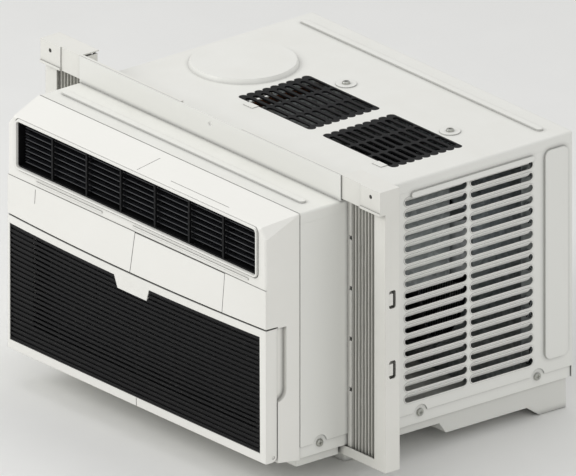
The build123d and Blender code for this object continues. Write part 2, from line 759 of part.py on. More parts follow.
def make_bezel():
    body = joined([bezel_outline(), swell_body(0.0, fold_y - 20)])
    grille_space = block(-half_width - 5, half_width + 5, front_y - 20, front_y + grille_depth + 1,
                         0, grille_top_z + reveal)
    chamber = block(-chamber_half_width, chamber_half_width, front_y + 6, fold_y + 1, chamber_low_z,
                    chamber_high_z)
    sill = block(-chamber_half_width, chamber_half_width, filter_y + filter_thickness + 0.8, fold_y + 1,
                 chamber_low_z - 6, chamber_low_z + 1)
    outlet = block(-outlet_half_width, outlet_half_width, front_y - 1, fold_y + 1, outlet_low_z, outlet_high_z)
    panel_space = block(seam_left_x, seam_right_x, front_y - 20, front_y + 1.8, grille_top_z - 2, band_top_z - 0.5)
    pocket = block(seam_left_x + 6, seam_right_x - 6, front_y - 20, front_y + 7, grille_top_z + 6, band_top_z - 6)
    tick_x = 53.0 - half_width
    tick = block(tick_x - 0.4, tick_x + 0.4, front_y - 20, front_y + 0.5, band_top_z - 21, band_top_z - 4)
    grooves = [
        line_groove((seam_left_x - 1.0, front_y + 3.5), (seam_left_x + 1.0, fold_y - 12.0)),
        line_groove((seam_left_x + 52.0, front_y + 10.0), (seam_left_x + 157.0, front_y + 10.0)),
        block(-half_width, half_width, front_y - 1, front_y + 0.8, band_top_z - 0.5, band_top_z + 0.4),
        surround_outline(surround_groove) - surround_outline(0.0),
    ]
    cuts = [grille_space, chamber, sill, outlet, panel_space, pocket, tick, finger_recess(),
            mirrored(finger_recess())] + grooves
    body = without(body, cuts)
    ears = []
    for side in (-1, 1):
        ears.append(hinge_ear(side))
    lines = [block(start, end, front_y - 0.9, front_y + 1, accent_z, accent_z + 1.8) for start, end in accent_spans_x]
    lip = block(-chamber_half_width, chamber_half_width, front_y + grille_depth + 1, filter_y - 0.8,
                chamber_low_z - 1, filter_low_z + filter_lift - 4)
    return joined([body, lip] + ears + lines)


def surround_outline(spread):
    """A rounded prism round the outlet, in the bezel's face, widened by spread."""
    middle = (outlet_low_z + outlet_high_z) / 2
    plane = Plane(origin=(0, front_y - 1, middle), x_dir=(1, 0, 0), z_dir=(0, 1, 0))
    outline = RectangleRounded(2 * (surround_half_width + spread), 2 * (surround_half_height + spread),
                               surround_corner + spread)
    return extrude(plane * outline, 2.0)


def line_groove(start, end):
    """A fine groove across the bezel's sloping top."""
    length = math.hypot(end[0] - start[0], end[1] - start[1])
    angle = math.degrees(math.atan2(end[1] - start[1], end[0] - start[0]))
    middle = ((start[0] + end[0]) / 2, (start[1] + end[1]) / 2)
    slope = (cabinet_top_z - bezel_front_top_z) / bezel_depth
    z = bezel_front_top_z + slope * (middle[1] - front_y)
    tilt = Rot(math.degrees(math.atan(slope)), 0, 0)
    return Pos(middle[0], middle[1], z) * tilt * Rot(0, 0, angle) * Box(length, 0.8, 0.9)


def ear_span():
    """X of a hinge ear's inner and outer faces."""
    outer = bezel_front_half_width - grille_wall - 0.5
    return outer - ear_width, outer


def hinge_ear(side):
    """An ear on the bezel with the pin that the grille turns on."""
    inner, outer = ear_span()
    x0, x1 = sorted((side * inner, side * outer))
    barrel = rod_x(x0, x1, hinge_y, hinge_z, ear_radius)
    arm = block(x0, x1, hinge_y, front_y + grille_depth + 3, hinge_z - ear_radius, hinge_z + ear_radius)
    p0, p1 = sorted((side * outer, side * (bezel_front_half_width - 0.6)))
    return joined([barrel, arm, rod_x(p0, p1, hinge_y, hinge_z, hinge_pin_radius)])


def make_control_panel():
    """The plate between the two seams of the band."""
    gap = seam_gap
    blank = block(seam_left_x + gap, seam_right_x - gap, front_y - 20, front_y + 1.8, grille_top_z + reveal,
                  band_top_z - 0.5 - gap)
    spine = block(seam_left_x + 9, seam_right_x - 9, front_y + 1.8, front_y + 5, grille_top_z + 9, band_top_z - 9)
    return joined([blank & swell_body(0.05, fold_y), spine])


def notch_prism(shrink, y0, y1):
    """The tab that hangs from the middle of the grille's top edge."""
    top = mesh_high_z + 2
    low = mesh_high_z - notch_depth + shrink
    points = [
        (-notch_top_width / 2 + shrink, top),
        (-notch_bottom_width / 2 + shrink, low),
        (notch_bottom_width / 2 - shrink, low),
        (notch_top_width / 2 - shrink, top),
    ]
    plane = Plane(origin=(0, y1, 0), x_dir=(1, 0, 0), z_dir=(0, -1, 0))
    return extrude(plane * make_face(Polyline(*points, close=True)), y1 - y0)


def make_grille():
    """The hinged front panel's white frame, with a side wall and a bearing at each end."""
    rear = front_y + grille_depth
    far = front_y - 30
    body = swell_body(0.0, rear)
    body = body & block(-half_width, half_width, far, rear, bezel_front_bottom_z, grille_top_z)
    hollow = swell_body(grille_wall, rear + 5) & block(-bezel_front_half_width + grille_wall,
                                                       bezel_front_half_width - grille_wall, far, rear + 5,
                                                       bezel_front_bottom_z + 2.5, grille_top_z - 2.5)
    window = block(mesh_left_x, mesh_right_x, far, rear + 5, mesh_low_z, mesh_high_z)
    window = window - notch_prism(0.0, far, rear + 5)
    heel = block(-half_width, half_width, hinge_y, rear + 1, bezel_front_bottom_z - 1, hinge_z)
    heel = heel - rod_x(-half_width, half_width, hinge_y, hinge_z, 4.9)
    pins = rod_x(-half_width, half_width, hinge_y, hinge_z, hinge_pin_radius + pivot_fit)
    relief = block(-chamber_half_width, chamber_half_width, front_y + 9, rear + 1, grille_top_z - 3,
                   grille_top_z + 1)
    inner, outer = ear_span()
    gap = block(inner - 1, outer + 0.4, hinge_y - 4.5, rear + 1, bezel_front_bottom_z - 1, hinge_z)
    joint = block(-0.5, 0.5, far, rear, bezel_front_bottom_z - 1, mesh_low_z + 1) - swell_body(0.6, rear + 5)
    return without(body, [hollow, window, heel, pins, relief, gap, mirrored(gap), joint])


def make_mesh():
    """The black intake mesh: fine ribs across the panel in front of upright webs."""
    far = front_y - 30
    rear = front_y + 12
    margin = 0.15
    left = mesh_left_x + margin
    right = mesh_right_x - margin
    window = block(left, right, far, rear, mesh_low_z + margin, mesh_high_z - margin)
    window = window - notch_prism(-margin, far, rear)
    layer = 1.0
    front_skin = (swell_body(layer, rear) - swell_body(layer + 1.6, rear + 1)) & window
    back_skin = (swell_body(layer + 1.6, rear) - swell_body(layer + 2.6, rear + 1)) & window
    rows = int((mesh_high_z - mesh_low_z - 5) / mesh_pitch)
    gaps = []
    for row in range(rows):
        z = mesh_low_z + 4 + row * mesh_pitch
        gaps.append(block(left + 1.2, right - 1.2, far, rear + 2, z, z + mesh_gap))
    ribs = without(front_skin, gaps)
    inner = chamber_half_width - 2
    cell = 2 * inner / mesh_columns
    strips = [
        block(left, -inner + mesh_backing, far, rear + 2, mesh_low_z, mesh_high_z),
        block(inner, right, far, rear + 2, mesh_low_z, mesh_high_z),
        block(left, right, far, rear + 2, mesh_low_z, filter_low_z + mesh_backing),
        block(left, right, far, rear + 2, mesh_high_z - 3, mesh_high_z),
    ]
    for column in range(1, mesh_columns):
        x = -inner + column * cell
        strips.append(block(x - 1.3, x + 1.3, far, rear + 2, mesh_low_z, mesh_high_z))
    for side in (-1, 1):
        x = side * (notch_top_width / 2 + 2.5)
        strips.append(block(x - 1.0, x + 1.0, far, rear + 2, mesh_high_z - notch_depth - 8, mesh_high_z))
    webs = back_skin & joined(strips)
    return joined([ribs, webs])


def filter_box(margin, y0, y1):
    """A slab of the filter's outline, drawn in by margin."""
    half = filter_half_width - margin
    return block(-half, half, y0, y1, filter_low_z + margin, filter_low_z + filter_height - margin)


def make_filter_frame():
    rear = filter_y + filter_thickness
    frame = filter_box(0, filter_y, rear) - filter_box(7, filter_y - 1, rear + 1)
    ribs = [block(x - 1.2, x + 1.2, filter_y + 1.6, rear, filter_low_z + 5, filter_low_z + filter_height - 5)
            for x in (-137.0, -68.5, 0.0, 68.5, 137.0)]
    tab = block(-18, 18, filter_y - 5, filter_y, filter_low_z + filter_height - 5, filter_low_z + filter_height - 2)
    return joined([frame, tab] + ribs)


def make_filter_mesh():
    return filter_box(7.0, filter_y + 0.4, filter_y + 1.4)


# Cooling and air moving


def coil_block(half, y, depth, low, high):
    """A fin pack with end plates and return bends at its right end."""
    pack = block(-half + 12, half - 12, y, y + depth, low, high)
    plates = [block(x, x + 1.5, y, y + depth, low, high) for x in (-half + 10.5, half - 12)]
    bends = []
    count = int((high - low) / 50)
    for index in range(count):
        z = low + (high - low) * (index + 0.5) / count
        path = Plane(origin=(half - 10.5, y + depth / 2, z), x_dir=(0, 0, 1), z_dir=(0, -1, 0))
        ring = path * Torus(10, 3.2)
        bends.append(ring & block(half - 10.5, half + 6, y, y + depth, low, high))
    return joined([pack] + plates + bends)


def make_evaporator():
    return coil_block(evaporator_half_width, evaporator_y, evaporator_depth, evaporator_low_z, evaporator_high_z)


def make_condenser():
    y = shroud_y + shroud_wall
    return coil_block(condenser_half_width, y, condenser_depth, condenser_low_z, condenser_high_z)


def make_scroll():
    """The blower's housing: an inlet ring in front and a throat that opens up into the duct."""
    rear = scroll_y + scroll_depth
    room = wheel_radius + 12
    outer = block(axis_x - room - 4, axis_x + room + 20, scroll_y, rear, axis_z - room - 4, duct_low_z)
    cavity = rod_y(axis_x, scroll_y + scroll_wall, rear - scroll_wall, axis_z, room)
    throat = block(axis_x, axis_x + room + 16, scroll_y + scroll_wall, rear - scroll_wall, axis_z, duct_low_z + 1)
    inlet = rod_y(axis_x, scroll_y - 1, scroll_y + scroll_wall + 1, axis_z, wheel_radius - 16)
    shaft_hole = rod_y(axis_x, rear - scroll_wall - 1, rear + 1, axis_z, shaft_radius + 4)
    return without(outer, [cavity, throat, inlet, shaft_hole])


def make_duct():
    """The cold-air duct over the evaporator, from the scroll's throat to the outlet."""
    rear = scroll_y + scroll_depth
    half = outlet_half_width
    front = fold_y + 0.5
    outer = block(-half, half, front, rear, duct_low_z, duct_high_z)
    inner = block(-half + duct_wall, half - duct_wall, front - 1, rear - duct_wall, duct_low_z + duct_wall,
                  duct_high_z - duct_wall)
    room = wheel_radius + 12
    throat = block(axis_x, axis_x + room + 16, scroll_y + scroll_wall, rear - scroll_wall, duct_low_z - 1,
                   duct_low_z + duct_wall + 1)
    return without(outer, [inner, throat])


def make_blower():
    """A forward-curved blower wheel: back plate, hub, blades and front ring."""
    front = scroll_y + scroll_wall + 4
    rear = front + wheel_depth
    back = rod_y(axis_x, rear - 2, rear, axis_z, wheel_radius)
    hub = rod_y(axis_x, rear - 18, rear, axis_z, 14)
    rim = rod_y(axis_x, front, front + 2, axis_z, wheel_radius) - rod_y(axis_x, front - 1, front + 3, axis_z,
                                                                       wheel_radius - 12)
    blades = []
    for index in range(wheel_blades):
        angle = 360.0 * index / wheel_blades
        blade = Pos(wheel_radius - 6.5, 0, 0) * Rot(0, 30, 0) * Box(11, wheel_depth - 1, 1.2)
        blades.append(Pos(axis_x, (front + rear) / 2, axis_z) * Rot(0, angle, 0) * blade)
    wheel = joined([back, hub, rim] + blades)
    return wheel - rod_y(axis_x, front - 1, rear + 1, axis_z, shaft_radius)


def make_condenser_fan():
    """An axial fan with a slinger ring on its blade tips."""
    middle = fan_y + 14
    hub = rod_y(axis_x, fan_y, fan_y + 28, axis_z, 26)
    blades = []
    for index in range(fan_blades):
        angle = 360.0 * index / fan_blades
        blade = Pos(fan_radius / 2 + 8, 0, 0) * Rot(24, 0, 0) * Box(fan_radius - 22, 2.2, 62)
        blades.append(Pos(axis_x, middle, axis_z) * Rot(0, angle, 0) * blade)
    ring = rod_y(axis_x, middle - 4, middle + 4, axis_z, fan_radius)
    ring = ring - rod_y(axis_x, middle - 5, middle + 5, axis_z, fan_radius - 3)
    swept = rod_y(axis_x, fan_y, fan_y + 28, axis_z, fan_radius - 1)
    fan = joined([hub, ring] + [blade & swept for blade in blades])
    return fan - rod_y(axis_x, fan_y - 1, fan_y + 30, axis_z, shaft_radius)


def make_shaft():
    return rod_y(axis_x, scroll_y + scroll_wall + 20, fan_y + 30, axis_z, shaft_radius)


def make_motor():
    """The double-ended fan motor."""
    body = rod_y(axis_x, motor_y, motor_y + motor_length, axis_z, motor_radius)
    body = fillet(body.edges(), 6.0)
    bosses = [rod_y(axis_x, motor_y - 6, motor_y + motor_length + 6, axis_z, 14)]
    return joined([body] + bosses) - rod_y(axis_x, motor_y - 9, motor_y + motor_length + 9, axis_z,
                                           shaft_radius + pivot_fit)


def make_motor_bracket():
    """A steel saddle that carries the motor above the pan."""
    floor = sill_z + pan_sheet
    middle = motor_y + motor_length / 2
    foot = block(axis_x - 45, axis_x + 45, middle - 20, middle + 20, floor, floor + 2)
    post = block(axis_x - 30, axis_x + 30, middle - 10, middle + 10, floor, axis_z)
    seat = rod_y(axis_x, middle - 30, middle + 30, axis_z, motor_radius)
    window = block(axis_x - 18, axis_x + 18, middle - 20, middle + 20, floor + 14, axis_z - motor_radius - 16)
    return without(joined([foot, post]), [seat, window])


def make_bulkhead():
    """The wall between the room side and the outdoor side."""
    half = half_width - sheet - 1
    wall = block(-half, half, bulkhead_y, bulkhead_y + bulkhead_sheet, pan_rim_z + 1, cabinet_top_z - sheet - 1)
    low = block(-half_width + pan_inset + 2, half_width - pan_inset - 2, bulkhead_y, bulkhead_y + bulkhead_sheet,
                sill_z + pan_sheet, pan_rim_z + 2)
    holes = [
        rod_y(axis_x, bulkhead_y - 2, bulkhead_y + 4, axis_z, shaft_radius + 6),
        rod_y(accumulator_x, bulkhead_y - 2, bulkhead_y + 4, suction_z, pipe_radius + 1),
        rod_y(liquid_x, bulkhead_y - 2, bulkhead_y + 4, liquid_z, pipe_radius + 1),
    ]
    return without(joined([wall, low]), holes)


def make_shroud():
    """The condenser fan's shroud, with an orifice ring."""
    half = half_width - pan_inset - pan_sheet - 0.8
    rear = shroud_y + shroud_wall
    plate = block(-half, half, shroud_y, rear, drip_z + pan_sheet, condenser_high_z + 4)
    ring = rod_y(axis_x, rear - shroud_ring_depth, rear, axis_z, fan_radius + 7)
    orifice = rod_y(axis_x, 0, rear + 1, axis_z, fan_radius + 5)
    holes = [
        rod_y(liquid_x, shroud_y - 1, rear + 1, liquid_z, pipe_radius + 1),
        rod_y(dome_x, shroud_y - 1, rear + 1, discharge_z(), pipe_radius + 1),
    ]
    return without(joined([plate, ring]), [orifice] + holes)


def discharge_z():
    """Height of the level run of the compressor's discharge pipe."""
    return compressor_low_z + compressor_height + 40


def make_compressor():
    """A rotary compressor: a domed can with a terminal cover."""
    top = compressor_low_z + compressor_height
    can = rod_z(dome_x, dome_y, compressor_low_z, top, compressor_radius)
    can = fillet(can.edges(), 18.0)
    cover = block(dome_x - 18, dome_x + 18, dome_y - 18, dome_y + 18, top - 4, top + 12)
    cover = fillet(cover.edges().filter_by(Axis.Z), 6.0)
    plate = rod_z(dome_x, dome_y, compressor_low_z - mount_plate, compressor_low_z + 1, 40)
    feet = []
    holes = []
    for x, y, _ in mount_places():
        feet.append(rod_z(x, y, compressor_low_z - mount_plate, compressor_low_z, 11))
        holes.append(rod_z(x, y, compressor_low_z - mount_plate - 1, compressor_low_z + 1, 4.2))
    return without(joined([can, cover, plate] + feet), holes)


def mount_places():
    """Compressor feet: x, y and the height of the pan floor under each."""
    high = sill_z + pan_sheet
    low = drip_z + pan_sheet
    return [(dome_x, dome_y - 46, high), (dome_x - 40, dome_y + 26, low), (dome_x + 40, dome_y + 26, low)]


def make_compressor_mounts():
    """Rubber grommets with a neck through each foot."""
    mounts = []
    top = compressor_low_z - mount_plate
    for x, y, floor in mount_places():
        mounts.append(rod_z(x, y, floor, top, 9.0))
    return Compound(children=mounts)


def make_accumulator():
    can = rod_z(accumulator_x, dome_y, 92, 214, accumulator_radius)
    return fillet(can.edges(), 9.0)


def pipe(points, radii):
    """A copper pipe along straight runs joined by arcs."""
    path = FilletPolyline(*points, radius=radii) if radii else Line(*points)
    plane = Plane(origin=points[0], z_dir=path.tangent_at(0))
    return sweep(plane * Circle(pipe_radius), path)


def make_pipes():
    """Suction, discharge and liquid pipes between the coils and the compressor."""
    behind = evaporator_y + evaporator_depth
    coil = shroud_y + shroud_wall
    suction = pipe([(accumulator_x, dome_y, 214), (accumulator_x, dome_y, suction_z),
                    (accumulator_x, behind, suction_z)], [20.0])
    top = compressor_low_z + compressor_height + 12
    discharge = pipe([(dome_x, dome_y, top), (dome_x, dome_y, discharge_z()), (dome_x, coil, discharge_z())], [20.0])
    liquid = rod_y(liquid_x, behind, coil, liquid_z, pipe_radius)
    return Compound(children=[suction.solids()[0], discharge.solids()[0], liquid])


def make_control_box():
    """A folded steel box for the electronics, with a lid edge."""
    outer = block(box_left_x, box_left_x + box_width, box_front_y, box_rear_y, box_low_z, box_high_z)
    inner = block(box_left_x + box_sheet, box_left_x + box_width - box_sheet, box_front_y + box_sheet,
                  box_rear_y - box_sheet, box_low_z + box_sheet, box_high_z + 1)
    return outer - inner


def make_circuit_board():
    face = box_left_x + 9.6
    board = block(face - 1.6, face, box_front_y + 8, box_rear_y - 8, box_low_z + 6, box_high_z - 12)
    parts = [
        block(face, face + 12.4, box_front_y + 20, box_front_y + 44, box_low_z + 20, box_low_z + 46),
        block(face, face + 18.4, box_front_y + 58, box_front_y + 90, box_low_z + 30, box_low_z + 62),
        block(face, face + 8.4, box_front_y + 16, box_front_y + 90, box_low_z + 76, box_low_z + 90),
    ]
    return joined([board] + parts)


def make_capacitor():
    can = rod_z(box_left_x + 38, box_rear_y + 26, box_low_z - 4, box_low_z + 62, 20)
    return fillet(can.faces().sort_by(Axis.Z)[0].edges(), 3.0)


def make_bushing():
    """The grommet where the power cord leaves the left side."""
    y = fold_y + 24
    z = 78.0
    outer = rod_x(-half_width - 3, -half_width, y, z, 11)
    neck = rod_x(-half_width - 3, -half_width + sheet + 3, y, z, 8)
    return joined([outer, neck]) - rod_x(-half_width - 4, -half_width + 6, y, z, 4.5)


def make_left_side(right):
    hole = rod_x(-half_width - 4, -half_width + 4, fold_y + 24, 78.0, 8.05)
    return mirrored(right) - hole


def build():
    os.makedirs("parts", exist_ok=True)
    side = make_cabinet_side()
    save("cabinet_top", make_cabinet_top())
    save("cabinet_side_right", side)
    save("cabinet_side_left", make_left_side(side))
    save("top_vent_grilles", make_vent_grilles())
    save("rear_guard", make_rear_guard())
    save("cabinet_screws", make_screws())
    save("base_pan", make_base_pan())
    save("front_foot", make_front_foot())
    save("top_rail", make_top_rail())
    save("bottom_rail", make_bottom_rail())
    save("power_cord_bushing", make_bushing())
    pairs = {"curtain_retainer": make_retainer(), "curtain_frame": make_curtain_frame(),
             "accordion": make_accordion()}
    for name, right in pairs.items():
        save(f"{name}_right", right)
        save(f"{name}_left", mirrored(right))
    save("front_bezel", make_bezel())
    save("control_panel", make_control_panel())
    save("outlet_frame", make_outlet_frame())
    for index, z in enumerate(vane_heights()):
        save(f"horizontal_vane_{index + 1}", make_vane(z))
    save("vane_tie_bar", make_vane_tie())
    for bank, sign in (("left", -1), ("right", 1)):
        for index, x in enumerate(deflector_places(sign)):
            save(f"deflector_{bank}_{index + 1}", make_deflector(x))
        save(f"deflector_tie_{bank}", make_deflector_tie(sign))
    save("intake_grille", make_grille())
    save("intake_mesh", make_mesh())
    save("filter_frame", make_filter_frame())
    save("filter_mesh", make_filter_mesh())
    save("evaporator_coil", make_evaporator())
    save("condenser_coil", make_condenser())
    save("blower_scroll", make_scroll())
    save("air_duct", make_duct())
    save("blower_wheel", make_blower())
    save("condenser_fan", make_condenser_fan())
    save("fan_shaft", make_shaft())
    save("fan_motor", make_motor())
    save("motor_bracket", make_motor_bracket())
    save("bulkhead", make_bulkhead())
    save("fan_shroud", make_shroud())
    save("compressor", make_compressor())
    save("compressor_mounts", make_compressor_mounts())
    save("accumulator", make_accumulator())
    save("refrigerant_pipes", make_pipes())
    save("control_box", make_control_box())
    save("circuit_board", make_circuit_board())
    save("run_capacitor", make_capacitor())


build()
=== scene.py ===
import bpy
import json
import math
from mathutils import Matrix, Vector


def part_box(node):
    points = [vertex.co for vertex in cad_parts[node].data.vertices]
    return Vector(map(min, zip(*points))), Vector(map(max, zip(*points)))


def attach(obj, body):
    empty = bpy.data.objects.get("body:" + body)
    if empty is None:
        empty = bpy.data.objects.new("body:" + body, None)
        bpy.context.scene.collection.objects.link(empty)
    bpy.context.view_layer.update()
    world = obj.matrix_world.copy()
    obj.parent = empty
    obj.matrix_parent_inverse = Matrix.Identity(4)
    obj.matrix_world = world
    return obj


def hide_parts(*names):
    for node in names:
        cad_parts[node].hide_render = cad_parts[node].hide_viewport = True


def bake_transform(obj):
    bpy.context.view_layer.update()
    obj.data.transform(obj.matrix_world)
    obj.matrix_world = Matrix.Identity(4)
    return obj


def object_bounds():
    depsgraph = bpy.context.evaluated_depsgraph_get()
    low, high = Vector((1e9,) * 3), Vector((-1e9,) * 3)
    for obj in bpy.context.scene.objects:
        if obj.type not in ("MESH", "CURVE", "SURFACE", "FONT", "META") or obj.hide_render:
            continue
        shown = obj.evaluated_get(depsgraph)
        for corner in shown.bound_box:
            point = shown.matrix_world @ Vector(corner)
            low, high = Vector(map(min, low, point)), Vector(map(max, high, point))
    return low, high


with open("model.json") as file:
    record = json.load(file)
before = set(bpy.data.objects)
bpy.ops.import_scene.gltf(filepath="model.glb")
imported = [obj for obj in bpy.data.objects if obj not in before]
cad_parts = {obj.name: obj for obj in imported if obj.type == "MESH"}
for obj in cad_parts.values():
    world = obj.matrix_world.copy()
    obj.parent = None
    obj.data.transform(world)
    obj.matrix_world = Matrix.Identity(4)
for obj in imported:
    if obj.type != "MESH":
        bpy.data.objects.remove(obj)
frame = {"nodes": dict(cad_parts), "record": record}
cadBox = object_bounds()
nodes = frame["nodes"]
mm = 0.001
print("frame loaded")


# sRGB hex to the linear values that shaders work in
def linearColour(hexText):
    values = [int(hexText[i:i + 2], 16) / 255 for i in (1, 3, 5)]
    return [v / 12.92 if v <= 0.04045 else ((v + 0.055) / 1.055) ** 2.4 for v in values] + [1.0]


def addNode(tree, kind, settings=None, links=None):
    # settings name a property of the node or one of its inputs, links name an input
    made = tree.nodes.new(kind)
    for key, value in (settings or {}).items():
        if isinstance(key, str) and hasattr(made, key):
            setattr(made, key, value)
        else:
            made.inputs[key].default_value = value
    for key, source in (links or {}).items():
        tree.links.new(source, made.inputs[key])
    return made


def startMaterial(name, finish):
    # finish holds the plain sockets of the shader, such as its roughness
    material = bpy.data.materials.new(name)
    material.use_nodes = True
    tree = material.node_tree
    shader = tree.nodes["Principled BSDF"]
    for key, value in finish.items():
        shader.inputs[key].default_value = value
    place = addNode(tree, "ShaderNodeTexCoord").outputs["Object"]
    return material, tree, shader, place


def meshPiece(name, vertices, faces, material, smooth=True):
    mesh = bpy.data.meshes.new(name)
    mesh.from_pydata(vertices, [], faces)
    mesh.validate()
    mesh.materials.append(material)
    for face in mesh.polygons:
        face.use_smooth = smooth
    piece = bpy.data.objects.new(name, mesh)
    bpy.context.scene.collection.objects.link(piece)
    return piece


def bakeModifiers(piece):
    # the shape with its modifiers becomes the mesh itself
    seen = bpy.context.evaluated_depsgraph_get()
    seen.update()
    solid = bpy.data.meshes.new_from_object(piece.evaluated_get(seen))
    piece.modifiers.clear()
    piece.data = solid


# how open a corner is where the painted shade is darkest, and where it stops darkening
cornerShut = 0.25
cornerOpen = 0.95


# Enamel stoved on steel sheet: an even satin skin with a soft orange peel, a little dust where it faces up,
# and painted shade darkening its corners.
def stovedEnamel(name, skin):
    material, tree, shader, place = startMaterial(name,
                                                  {"IOR": 1.5, "Coat Weight": 0.12, "Coat Roughness": 0.2})
    peel = addNode(tree, "ShaderNodeTexNoise", {"Scale": 1 / (skin["peelMm"] * mm), "Detail": 2.0},
                   {"Vector": place})
    cloud = addNode(tree, "ShaderNodeTexNoise", {"Scale": 1 / (skin["cloudMm"] * mm), "Detail": 4.0},
                    {"Vector": place})
    facing = addNode(tree, "ShaderNodeNewGeometry").outputs["Normal"]
    upward = addNode(tree, "ShaderNodeSeparateXYZ", None, {"Vector": facing}).outputs["Z"]
    dustShare = addNode(tree, "ShaderNodeMapRange", {"From Min": 0.6, "From Max": 1.0, "To Min": 0.0,
                                                     "To Max": skin["dust"]}, {"Value": upward})
    dusty = addNode(tree, "ShaderNodeMath", {"operation": "MULTIPLY"},
                    {0: dustShare.outputs["Result"], 1: cloud.outputs["Fac"]})
    tone = addNode(tree, "ShaderNodeMix", {"data_type": "RGBA"}, {"Factor": dusty.outputs["Value"]})
    tone.inputs["A"].default_value = linearColour(skin["colour"])
    tone.inputs["B"].default_value = linearColour(skin["dustColour"])
    # painted shade: ambient occlusion darkens the colour in concave corners and along seams
    corner = addNode(tree, "ShaderNodeAmbientOcclusion", {"samples": 6, "Distance": skin["paintedShadeReachMm"] * mm},
                     {"Color": tone.outputs["Result"]})
    cornerShadeFactor = addNode(tree, "ShaderNodeMapRange",
                   {"From Min": cornerShut, "From Max": cornerOpen, "To Min": skin["paintedShadeTone"],
                    "To Max": 1.0},
                   {"Value": corner.outputs["AO"]})
    shade = addNode(tree, "ShaderNodeVectorMath", {"operation": "SCALE"},
                    {"Vector": tone.outputs["Result"], "Scale": cornerShadeFactor.outputs["Result"]})
    tree.links.new(shade.outputs["Vector"], shader.inputs["Base Color"])
    sheen = addNode(tree, "ShaderNodeMapRange",
                    {"To Min": skin["rough"] - 0.05, "To Max": skin["rough"] + 0.08},
                    {"Value": cloud.outputs["Fac"]})
    tree.links.new(sheen.outputs["Result"], shader.inputs["Roughness"])
    edge = addNode(tree, "ShaderNodeBevel", {"samples": 6, "Radius": skin["edgeMm"] * mm})
    bump = addNode(tree, "ShaderNodeBump", {"Strength": skin["bump"], "Distance": 0.1 * mm},
                   {"Height": peel.outputs["Fac"], "Normal": edge.outputs["Normal"]})
    tree.links.new(bump.outputs["Normal"], shader.inputs["Normal"])
    return material


# the corner keys set how far the painted shade in corners reaches and how dark it gets
enamelSkins = {
    "cabinetEnamel": {"colour": "#F1F1EC", "dustColour": "#C9C5B8", "dust": 0.22, "rough": 0.36,
                      "bump": 0.22, "peelMm": 1.8, "cloudMm": 45, "paintedShadeReachMm": 6, "paintedShadeTone": 0.22,
                      "edgeMm": 0.7},
    "panEnamel": {"colour": "#E6E6E1", "dustColour": "#A8A293", "dust": 0.4, "rough": 0.42, "bump": 0.25,
                  "peelMm": 2.0, "cloudMm": 30, "paintedShadeReachMm": 8, "paintedShadeTone": 0.3, "edgeMm": 0.8},
    "railEnamel": {"colour": "#EDEDE8", "dustColour": "#C4C0B2", "dust": 0.2, "rough": 0.36, "bump": 0.2,
                   "peelMm": 1.6, "cloudMm": 40, "paintedShadeReachMm": 6, "paintedShadeTone": 0.25, "edgeMm": 0.5},
}


# Injection-moulded ABS and its kin: a spark-eroded grain breaks up the highlight, and the colour goes
# through. Painted shade darkens the colour in concave corners.
# The real grain is about 0.3 mm, too fine to show, so it is drawn at twice that or more.
def mouldedPlastic(name, skin):
    material, tree, shader, place = startMaterial(name,
                                                  {"IOR": skin["ior"],
                                                   "Specular IOR Level": skin["specular"]})
    grain = addNode(tree, "ShaderNodeTexNoise", {"Scale": 1 / (skin["grainMm"] * mm), "Detail": 1.0},
                    {"Vector": place})
    flow = addNode(tree, "ShaderNodeTexNoise", {"Scale": 1 / (skin["flowMm"] * mm), "Detail": 3.0},
                   {"Vector": place})
    tone = addNode(tree, "ShaderNodeMix", {"data_type": "RGBA"}, {"Factor": flow.outputs["Fac"]})
    tone.inputs["A"].default_value = linearColour(skin["colour"])
    tone.inputs["B"].default_value = linearColour(skin["flowColour"])
    # painted shade: ambient occlusion darkens the colour in concave corners and along seams
    corner = addNode(tree, "ShaderNodeAmbientOcclusion", {"samples": 6, "Distance": skin["paintedShadeReachMm"] * mm})
    cornerShadeFactor = addNode(tree, "ShaderNodeMapRange",
                   {"From Min": cornerShut, "From Max": cornerOpen, "To Min": skin["paintedShadeTone"],
                    "To Max": 1.0},
                   {"Value": corner.outputs["AO"]})
    shade = addNode(tree, "ShaderNodeVectorMath", {"operation": "SCALE"},
                    {"Vector": tone.outputs["Result"], "Scale": cornerShadeFactor.outputs["Result"]})
    tree.links.new(shade.outputs["Vector"], shader.inputs["Base Color"])
    sheen = addNode(tree, "ShaderNodeMapRange",
                    {"To Min": skin["rough"] - 0.06, "To Max": skin["rough"] + 0.06},
                    {"Value": flow.outputs["Fac"]})
    tree.links.new(sheen.outputs["Result"], shader.inputs["Roughness"])
    edge = addNode(tree, "ShaderNodeBevel", {"samples": 6, "Radius": skin["edgeMm"] * mm})
    bump = addNode(tree, "ShaderNodeBump", {"Strength": skin["bump"], "Distance": 0.08 * mm},
                   {"Height": grain.outputs["Fac"], "Normal": edge.outputs["Normal"]})
    tree.links.new(bump.outputs["Normal"], shader.inputs["Normal"])
    return material
